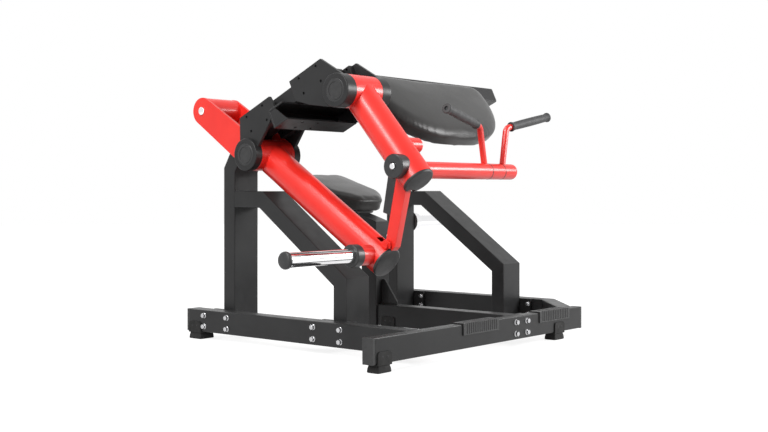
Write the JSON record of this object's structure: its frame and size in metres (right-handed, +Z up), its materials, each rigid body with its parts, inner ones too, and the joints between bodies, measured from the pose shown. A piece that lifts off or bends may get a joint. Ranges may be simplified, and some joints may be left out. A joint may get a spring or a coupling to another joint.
{
  "type": "biceps curl machine",
  "caption": "Plate loaded biceps curl machine: bolted tube frame, sloped arm pad, adjustable seat, and a pair of coupled round levers between a weight horn and angled handles.",
  "frame": {"origin": "centre of the footprint, on the floor", "axes": "+Z up, +Y towards the back of the machine, +X towards the storage horn; a user on the seat faces -Y"},
  "size_m": [1.722, 1.1188, 0.9928],
  "materials": {
    "left_rail": "semi-gloss charcoal black powder coat",
    "right_rail": "semi-gloss charcoal black powder coat",
    "centre_rail": "semi-gloss charcoal black powder coat",
    "front_beam": "semi-gloss charcoal black powder coat",
    "left_rear_foot": "matt moulded rubber",
    "right_rear_foot": "matt moulded rubber",
    "centre_foot": "matt moulded rubber",
    "left_front_foot": "matt moulded rubber",
    "right_front_foot": "matt moulded rubber",
    "left_tread": "moulded, fine matt texture",
    "right_tread": "moulded, fine matt texture",
    "left_column": "semi-gloss charcoal black powder coat",
    "right_column": "semi-gloss charcoal black powder coat",
    "left_brace": "semi-gloss charcoal black powder coat",
    "right_brace": "semi-gloss charcoal black powder coat",
    "lower_near_housing": "semi-gloss charcoal black powder coat",
    "lower_far_housing": "semi-gloss charcoal black powder coat",
    "upper_near_housing": "semi-gloss charcoal black powder coat",
    "upper_far_housing": "semi-gloss charcoal black powder coat",
    "lower_near_bearing": "moulded, fine matt texture",
    "lower_far_bearing": "moulded, fine matt texture",
    "upper_near_bearing": "moulded, fine matt texture",
    "upper_far_bearing": "moulded, fine matt texture",
    "pad_beam": "semi-gloss charcoal black powder coat",
    "pad_board": "moulded, fine matt texture",
    "arm_pad": "dark grey leatherette with a fine grain",
    "pad_carrier": "semi-gloss charcoal black powder coat",
    "seat_column": "semi-gloss charcoal black powder coat",
    "storage_horn": "bright polished chrome",
    "left_rail_cap": "moulded, fine matt texture",
    "right_rail_cap": "moulded, fine matt texture",
    "left_beam_cap": "moulded, fine matt texture",
    "right_beam_cap": "moulded, fine matt texture",
    "head_cap": "moulded, fine matt texture",
    "pad_beam_cap": "moulded, fine matt texture",
    "upper_arm": "high gloss red paint over round tube",
    "upper_cap": "moulded, fine matt texture",
    "upper_shaft": "ground bright steel",
    "link_pin": "ground bright steel",
    "pivot_cover": "moulded, fine matt texture",
    "pivot_bolt": "bright polished chrome",
    "cross_tube": "high gloss red paint over round tube",
    "left_handle_rod": "high gloss red paint over round tube",
    "right_handle_rod": "high gloss red paint over round tube",
    "left_grip": "matt moulded rubber",
    "right_grip": "matt moulded rubber",
    "lower_arm": "high gloss red paint over round tube",
    "lower_cap": "moulded, fine matt texture",
    "lower_shaft": "ground bright steel",
    "fork": "high gloss red paint over round tube",
    "fork_bolt": "bright polished chrome",
    "weight_horn": "bright polished chrome",
    "horn_collar": "moulded, fine matt texture",
    "horn_cap": "moulded, fine matt texture",
    "link": "high gloss red paint over round tube",
    "link_buffer": "matt moulded rubber",
    "seat_post": "semi-gloss charcoal black powder coat",
    "seat_board": "moulded, fine matt texture",
    "seat_pad": "dark grey leatherette with a fine grain",
    "pull_pin": "moulded, fine matt texture"
  },
  "bodies": {
    "frame": {"left_rail": "left_rail", "right_rail": "right_rail", "centre_rail": "centre_rail", "front_beam": "front_beam", "left_rear_foot": "left_rear_foot", "right_rear_foot": "right_rear_foot", "centre_foot": "centre_foot", "left_front_foot": "left_front_foot", "right_front_foot": "right_front_foot", "left_tread": "left_tread", "right_tread": "right_tread", "left_column": "left_column", "right_column": "right_column", "left_brace": "left_brace", "right_brace": "right_brace", "lower_near_housing": "lower_near_housing", "lower_far_housing": "lower_far_housing", "upper_near_housing": "upper_near_housing", "upper_far_housing": "upper_far_housing", "lower_near_bearing": "lower_near_bearing", "lower_far_bearing": "lower_far_bearing", "upper_near_bearing": "upper_near_bearing", "upper_far_bearing": "upper_far_bearing", "pad_beam": "pad_beam", "pad_board": "pad_board", "arm_pad": "arm_pad", "pad_carrier": "pad_carrier", "seat_column": "seat_column", "storage_horn": "storage_horn", "left_rail_cap": "left_rail_cap", "right_rail_cap": "right_rail_cap", "left_beam_cap": "left_beam_cap", "right_beam_cap": "right_beam_cap", "head_cap": "head_cap", "pad_beam_cap": "pad_beam_cap"},
    "handle_lever": {"upper_arm": "upper_arm", "upper_cap": "upper_cap", "upper_shaft": "upper_shaft", "link_pin": "link_pin", "pivot_cover": "pivot_cover", "pivot_bolt": "pivot_bolt", "cross_tube": "cross_tube", "left_handle_rod": "left_handle_rod", "right_handle_rod": "right_handle_rod", "left_grip": "left_grip", "right_grip": "right_grip"},
    "weight_lever": {"lower_arm": "lower_arm", "lower_cap": "lower_cap", "lower_shaft": "lower_shaft", "fork": "fork", "fork_bolt": "fork_bolt", "weight_horn": "weight_horn", "horn_collar": "horn_collar", "horn_cap": "horn_cap"},
    "link_bar": {"link": "link", "link_buffer": "link_buffer"},
    "seat": {"seat_post": "seat_post", "seat_board": "seat_board", "seat_pad": "seat_pad"},
    "seat_pin": {"pull_pin": "pull_pin"}
  },
  "joints": [
    {"name": "handle_lever_hinge", "type": "hinge", "parent": "frame", "child": "handle_lever", "pos_m": [-0.4132, -0.19308, 0.8815], "axis": [-1, 0, 0], "range_deg": [0, 80]},
    {"name": "weight_lever_hinge", "type": "hinge", "parent": "frame", "child": "weight_lever", "pos_m": [-0.4132, 0.24192, 0.675], "axis": [-1, 0, 0], "range_deg": [0, 41]},
    {"name": "link_hinge", "type": "hinge", "parent": "handle_lever", "child": "link_bar", "pos_m": [-0.4132, -0.41658, 0.6253], "axis": [-1, 0, 0], "range_deg": [-90, 0]},
    {"name": "seat_slide", "type": "slide", "parent": "frame", "child": "seat", "axis": [0, 0, 1], "range_m": [0, 0.12]},
    {"name": "seat_pin_slide", "type": "slide", "parent": "frame", "child": "seat_pin", "axis": [-1, 0, 0], "range_m": [0, 0.012]}
  ],
  "couplings": [
    {"joint": "weight_lever_hinge", "follows": "handle_lever_hinge", "ratio": 0.49926},
    {"joint": "link_hinge", "follows": "handle_lever_hinge", "ratio": -1.092}
  ]
}
